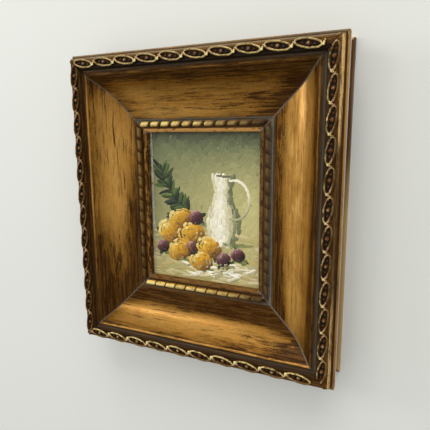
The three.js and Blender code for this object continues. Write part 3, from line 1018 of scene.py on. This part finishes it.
# leaves in pairs along a branch that rises from the heap, and a few among the fruit
def paintLeaves():
    knots = picture["branch"]
    for i in range(picture["leaves"]):
        place = i / picture["leaves"] * (len(knots) - 1)
        step = int(place)
        (x0, z0), (x1, z1) = knots[step], knots[step + 1]
        x, z = x0 + (x1 - x0) * (place - step), z0 + (z1 - z0) * (place - step)
        along = math.degrees(math.atan2(z1 - z0, x1 - x0))
        side = 1 if i % 2 else -1
        angle = along + side * hand.uniform(30, 75)
        size = hand.uniform(7, 12)
        layDab(x, z, 5, 0.9, 0.3, along, shadeOf("leaf", 0))
        layDab(x + size * 0.5 * math.cos(math.radians(angle)), z + size * 0.5 * math.sin(math.radians(angle)),
               size, hand.uniform(2.4, 4.2), hand.uniform(0.2, 0.45), angle,
               shadeOf("leaf", hand.choice((0, 1, 1, 2, 3, 4))), hand.uniform(-0.25, 0.25))
    for x, z, size, tilt in picture["lemon"] + picture["plum"]:
        for i in range(picture["leavesByFruit"]):
            angle = hand.uniform(0, 360)
            layDab(x + size * math.cos(math.radians(angle)), z + size * math.sin(math.radians(angle)),
                   hand.uniform(6, 10), hand.uniform(2.2, 3.6), 0.2, angle,
                   shadeOf("leaf", hand.choice((0, 1, 2, 3))))


# Oil paint in visible dabs: soft satin sheen, fine lines left by the bristles along each dab
def oilMaterial():
    material, tree = newMaterial("Oil paint")
    shade = addNode(tree, "ShaderNodeAttribute", attribute_name="paint", give="Color")
    stroke = addNode(tree, "ShaderNodeAttribute", attribute_name="stroke", give="Vector")
    mapped = addNode(tree, "ShaderNodeMapping", {"Vector": stroke, "Scale": (1 / 9.0, 1 / 0.7, 1.0)})
    bristle = addNode(tree, "ShaderNodeTexNoise", {
        "Vector": mapped, "Scale": 1.0, "Detail": 3.0, "Roughness": 0.6,
    })
    lines = addNode(tree, "ShaderNodeMapRange", {
        0: bristle, "From Min": 0.3, "From Max": 0.7, "To Min": 0.80, "To Max": 1.14,
    })
    paint = addNode(tree, "ShaderNodeVectorMath", {0: shade, 1: lines}, operation="MULTIPLY")
    roughness = addNode(tree, "ShaderNodeMapRange", {0: bristle, "To Min": 0.36, "To Max": 0.56})
    closeMaterial(tree, {"Base Color": paint, "Roughness": roughness}, bristle, strength=0.6, depth=0.18)
    return material


# Hardboard: brown pressed fibre, seen at the back of the picture
def boardMaterial():
    material, tree = newMaterial("Hardboard")
    place = addNode(tree, "ShaderNodeTexCoord", give="Object")
    fibre = addNode(tree, "ShaderNodeTexNoise", {"Vector": place, "Scale": 1 / (1.5 * mm), "Detail": 6.0})
    tone = addNode(tree, "ShaderNodeValToRGB", {0: fibre}, ramp=[
        (0.30, colour("#4a3220")), (0.52, colour("#6b4a2e")), (0.75, colour("#856140")),
    ])
    closeMaterial(tree, {"Base Color": tone, "Roughness": 0.72}, fibre, strength=0.3, depth=0.1)
    return material


def makePicture():
    wide, thick, tall = picture["board"]
    middle = Vector((0, -(picture["front"] - thick / 2), middleZ)) * mm
    bpy.ops.object.select_all(action="DESELECT")
    bpy.ops.mesh.primitive_cube_add(size=mm, location=middle)
    board = startEdit("oil_painting")
    bpy.ops.transform.resize(value=(wide, thick, tall), center_override=middle)
    bpy.ops.mesh.bevel(offset=picture["rounding"] * mm, segments=2, affect="EDGES")
    endEdit(board)
    paintGround()
    paintTable()
    paintJug()
    paintLeaves()
    for name in ("plum", "lemon"):
        for x, z, size, tilt in picture[name]:
            paintFruit(x, z, size, tilt, name)
    layer = bpy.data.meshes.new("paintLayer")
    layer.from_pydata(paintLayer["points"], [], paintLayer["faces"])
    shades = layer.attributes.new("paint", "FLOAT_COLOR", "POINT")
    strokes = layer.attributes.new("stroke", "FLOAT_VECTOR", "POINT")
    for shade, mark in zip(paintLayer["shades"], shades.data):
        mark.color = shade
    for stroke, mark in zip(paintLayer["strokes"], strokes.data):
        mark.vector = stroke
    paint = bpy.data.objects.new("paintLayer", layer)
    bpy.context.scene.collection.objects.link(paint)
    ground = board.data.attributes.new("paint", "FLOAT_COLOR", "POINT")
    for mark in ground.data:
        mark.color = colour(palette["groundLeft"])
    oil = oilMaterial()
    board.data.materials.append(boardMaterial())
    board.data.materials.append(oil)
    layer.materials.append(oil)
    for face in board.data.polygons:
        face.material_index = 1 if face.normal.y < -0.9 else 0
    selectOnly(board, paint)
    bpy.ops.object.join()
    bpy.ops.object.shade_smooth_by_angle(angle=math.radians(picture["smoothAngle"]))
    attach(board, "root")
    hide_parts("painted_board")
    print("picture painted,", len(board.data.polygons), "faces")


makePicture()

# Wall, light and camera
staging = {
    "wall": "#e2e3df",
    "wallSize": 4.0,
    "opening": (0.215, 0.238),  # behind the frame, where light from behind comes in
    "ceiling": {"at": (0.15, -0.6, 1.2), "size": 1.0, "power": 12.0, "tint": "#fffefa"},
    "window": {"at": (-1.5, -0.7, 0.3), "size": 0.6, "power": 5.5, "tint": "#fbfcff"},
    "lamp": {"at": (-0.75, -1.1, 0.4), "size": 0.3, "power": 1.6, "tint": "#fff6e6"},
    "behind": {"at": (0.3, 1.0, 0.3), "size": 0.8, "power": 9.0, "tint": "#fffefa"},
    "sky": (0.1, 0.9),
    "skyTint": "#f4f5f2",
    "brightSide": (0.05, -0.8, 0.6),
    "lens": 36.68,
    "sensor": 36,
    "camera": (0.1513, -0.3155, -0.0487),
    "cameraTurn": (79.226, 0.458, 24.918),
}


# Painted plaster wall: faint roller mottling. Seen from behind it is clear.
def makeWall():
    bpy.ops.object.select_all(action="DESELECT")
    bpy.ops.mesh.primitive_plane_add(
        size=staging["wallSize"], location=(0, 0.02 * mm, 0), rotation=(math.pi / 2, 0, 0),
    )
    wall = startEdit("wall")
    openWide, openTall = staging["opening"]
    bpy.ops.mesh.inset(thickness=(staging["wallSize"] - openWide) / 2)
    pick(wall, "FACE", lambda f: f.calc_area() < 1)
    bpy.ops.transform.resize(value=(1, 1, openTall / openWide), center_override=(0, 0, 0))
    bpy.ops.transform.translate(value=(0, 0, middleZ * mm))
    bpy.ops.mesh.delete(type="FACE")
    bpy.ops.object.mode_set(mode="OBJECT")
    material, tree = newMaterial("Painted plaster")
    place = addNode(tree, "ShaderNodeTexCoord", give="Object")
    mottle = addNode(tree, "ShaderNodeTexNoise", {"Vector": place, "Scale": 1 / (3 * mm), "Detail": 4.0})
    bump = addNode(tree, "ShaderNodeBump", {"Strength": 0.16, "Distance": 0.3 * mm, "Height": mottle})
    plaster = addNode(tree, "ShaderNodeBsdfPrincipled", {
        "Base Color": colour(staging["wall"]), "Roughness": 0.8, "Normal": bump,
    })
    behind = addNode(tree, "ShaderNodeNewGeometry", give="Backfacing")
    clear = addNode(tree, "ShaderNodeBsdfTransparent")
    shader = addNode(tree, "ShaderNodeMixShader", {0: behind, 1: plaster, 2: clear})
    addNode(tree, "ShaderNodeOutputMaterial", {"Surface": shader}, give=None)
    wall.data.materials.append(material)


def makeLight(name):
    lamp = staging[name]
    bpy.ops.object.light_add(type="AREA", location=lamp["at"])
    light = bpy.context.object
    light.name = name
    light.data.size = lamp["size"]
    light.data.energy = lamp["power"]
    light.data.color = colour(lamp["tint"])[:3]
    aim = Vector((0, 0, middleZ * mm)) - Vector(lamp["at"])
    light.rotation_euler = aim.to_track_quat("-Z", "Y").to_euler()


makeWall()
for lightName in ("ceiling", "window", "lamp", "behind"):
    makeLight(lightName)

world = bpy.data.worlds.new("room")
bpy.context.scene.world = world
world.use_nodes = True
world.node_tree.nodes.clear()
direction = addNode(world.node_tree, "ShaderNodeTexCoord", give="Generated")
towards = addNode(world.node_tree, "ShaderNodeVectorMath", {
    0: direction, 1: staging["brightSide"],
}, operation="DOT_PRODUCT", give="Value")
sky = addNode(world.node_tree, "ShaderNodeMapRange", {
    0: towards, "From Min": -1.0, "From Max": 1.0, "To Min": staging["sky"][0], "To Max": staging["sky"][1],
})
sky = addNode(world.node_tree, "ShaderNodeBackground", {"Color": colour(staging["skyTint"]), "Strength": sky})
addNode(world.node_tree, "ShaderNodeOutputWorld", {"Surface": sky}, give=None)

bpy.ops.object.camera_add(location=staging["camera"])
camera = bpy.context.object
camera.rotation_euler = [math.radians(a) for a in staging["cameraTurn"]]
camera.data.lens = staging["lens"]
camera.data.sensor_width = staging["sensor"]
camera.data.clip_start = 0.01
bpy.context.scene.camera = camera
bpy.context.scene.view_settings.view_transform = "Standard"  # keeps the paint's own colours
print("wall, light and camera set")
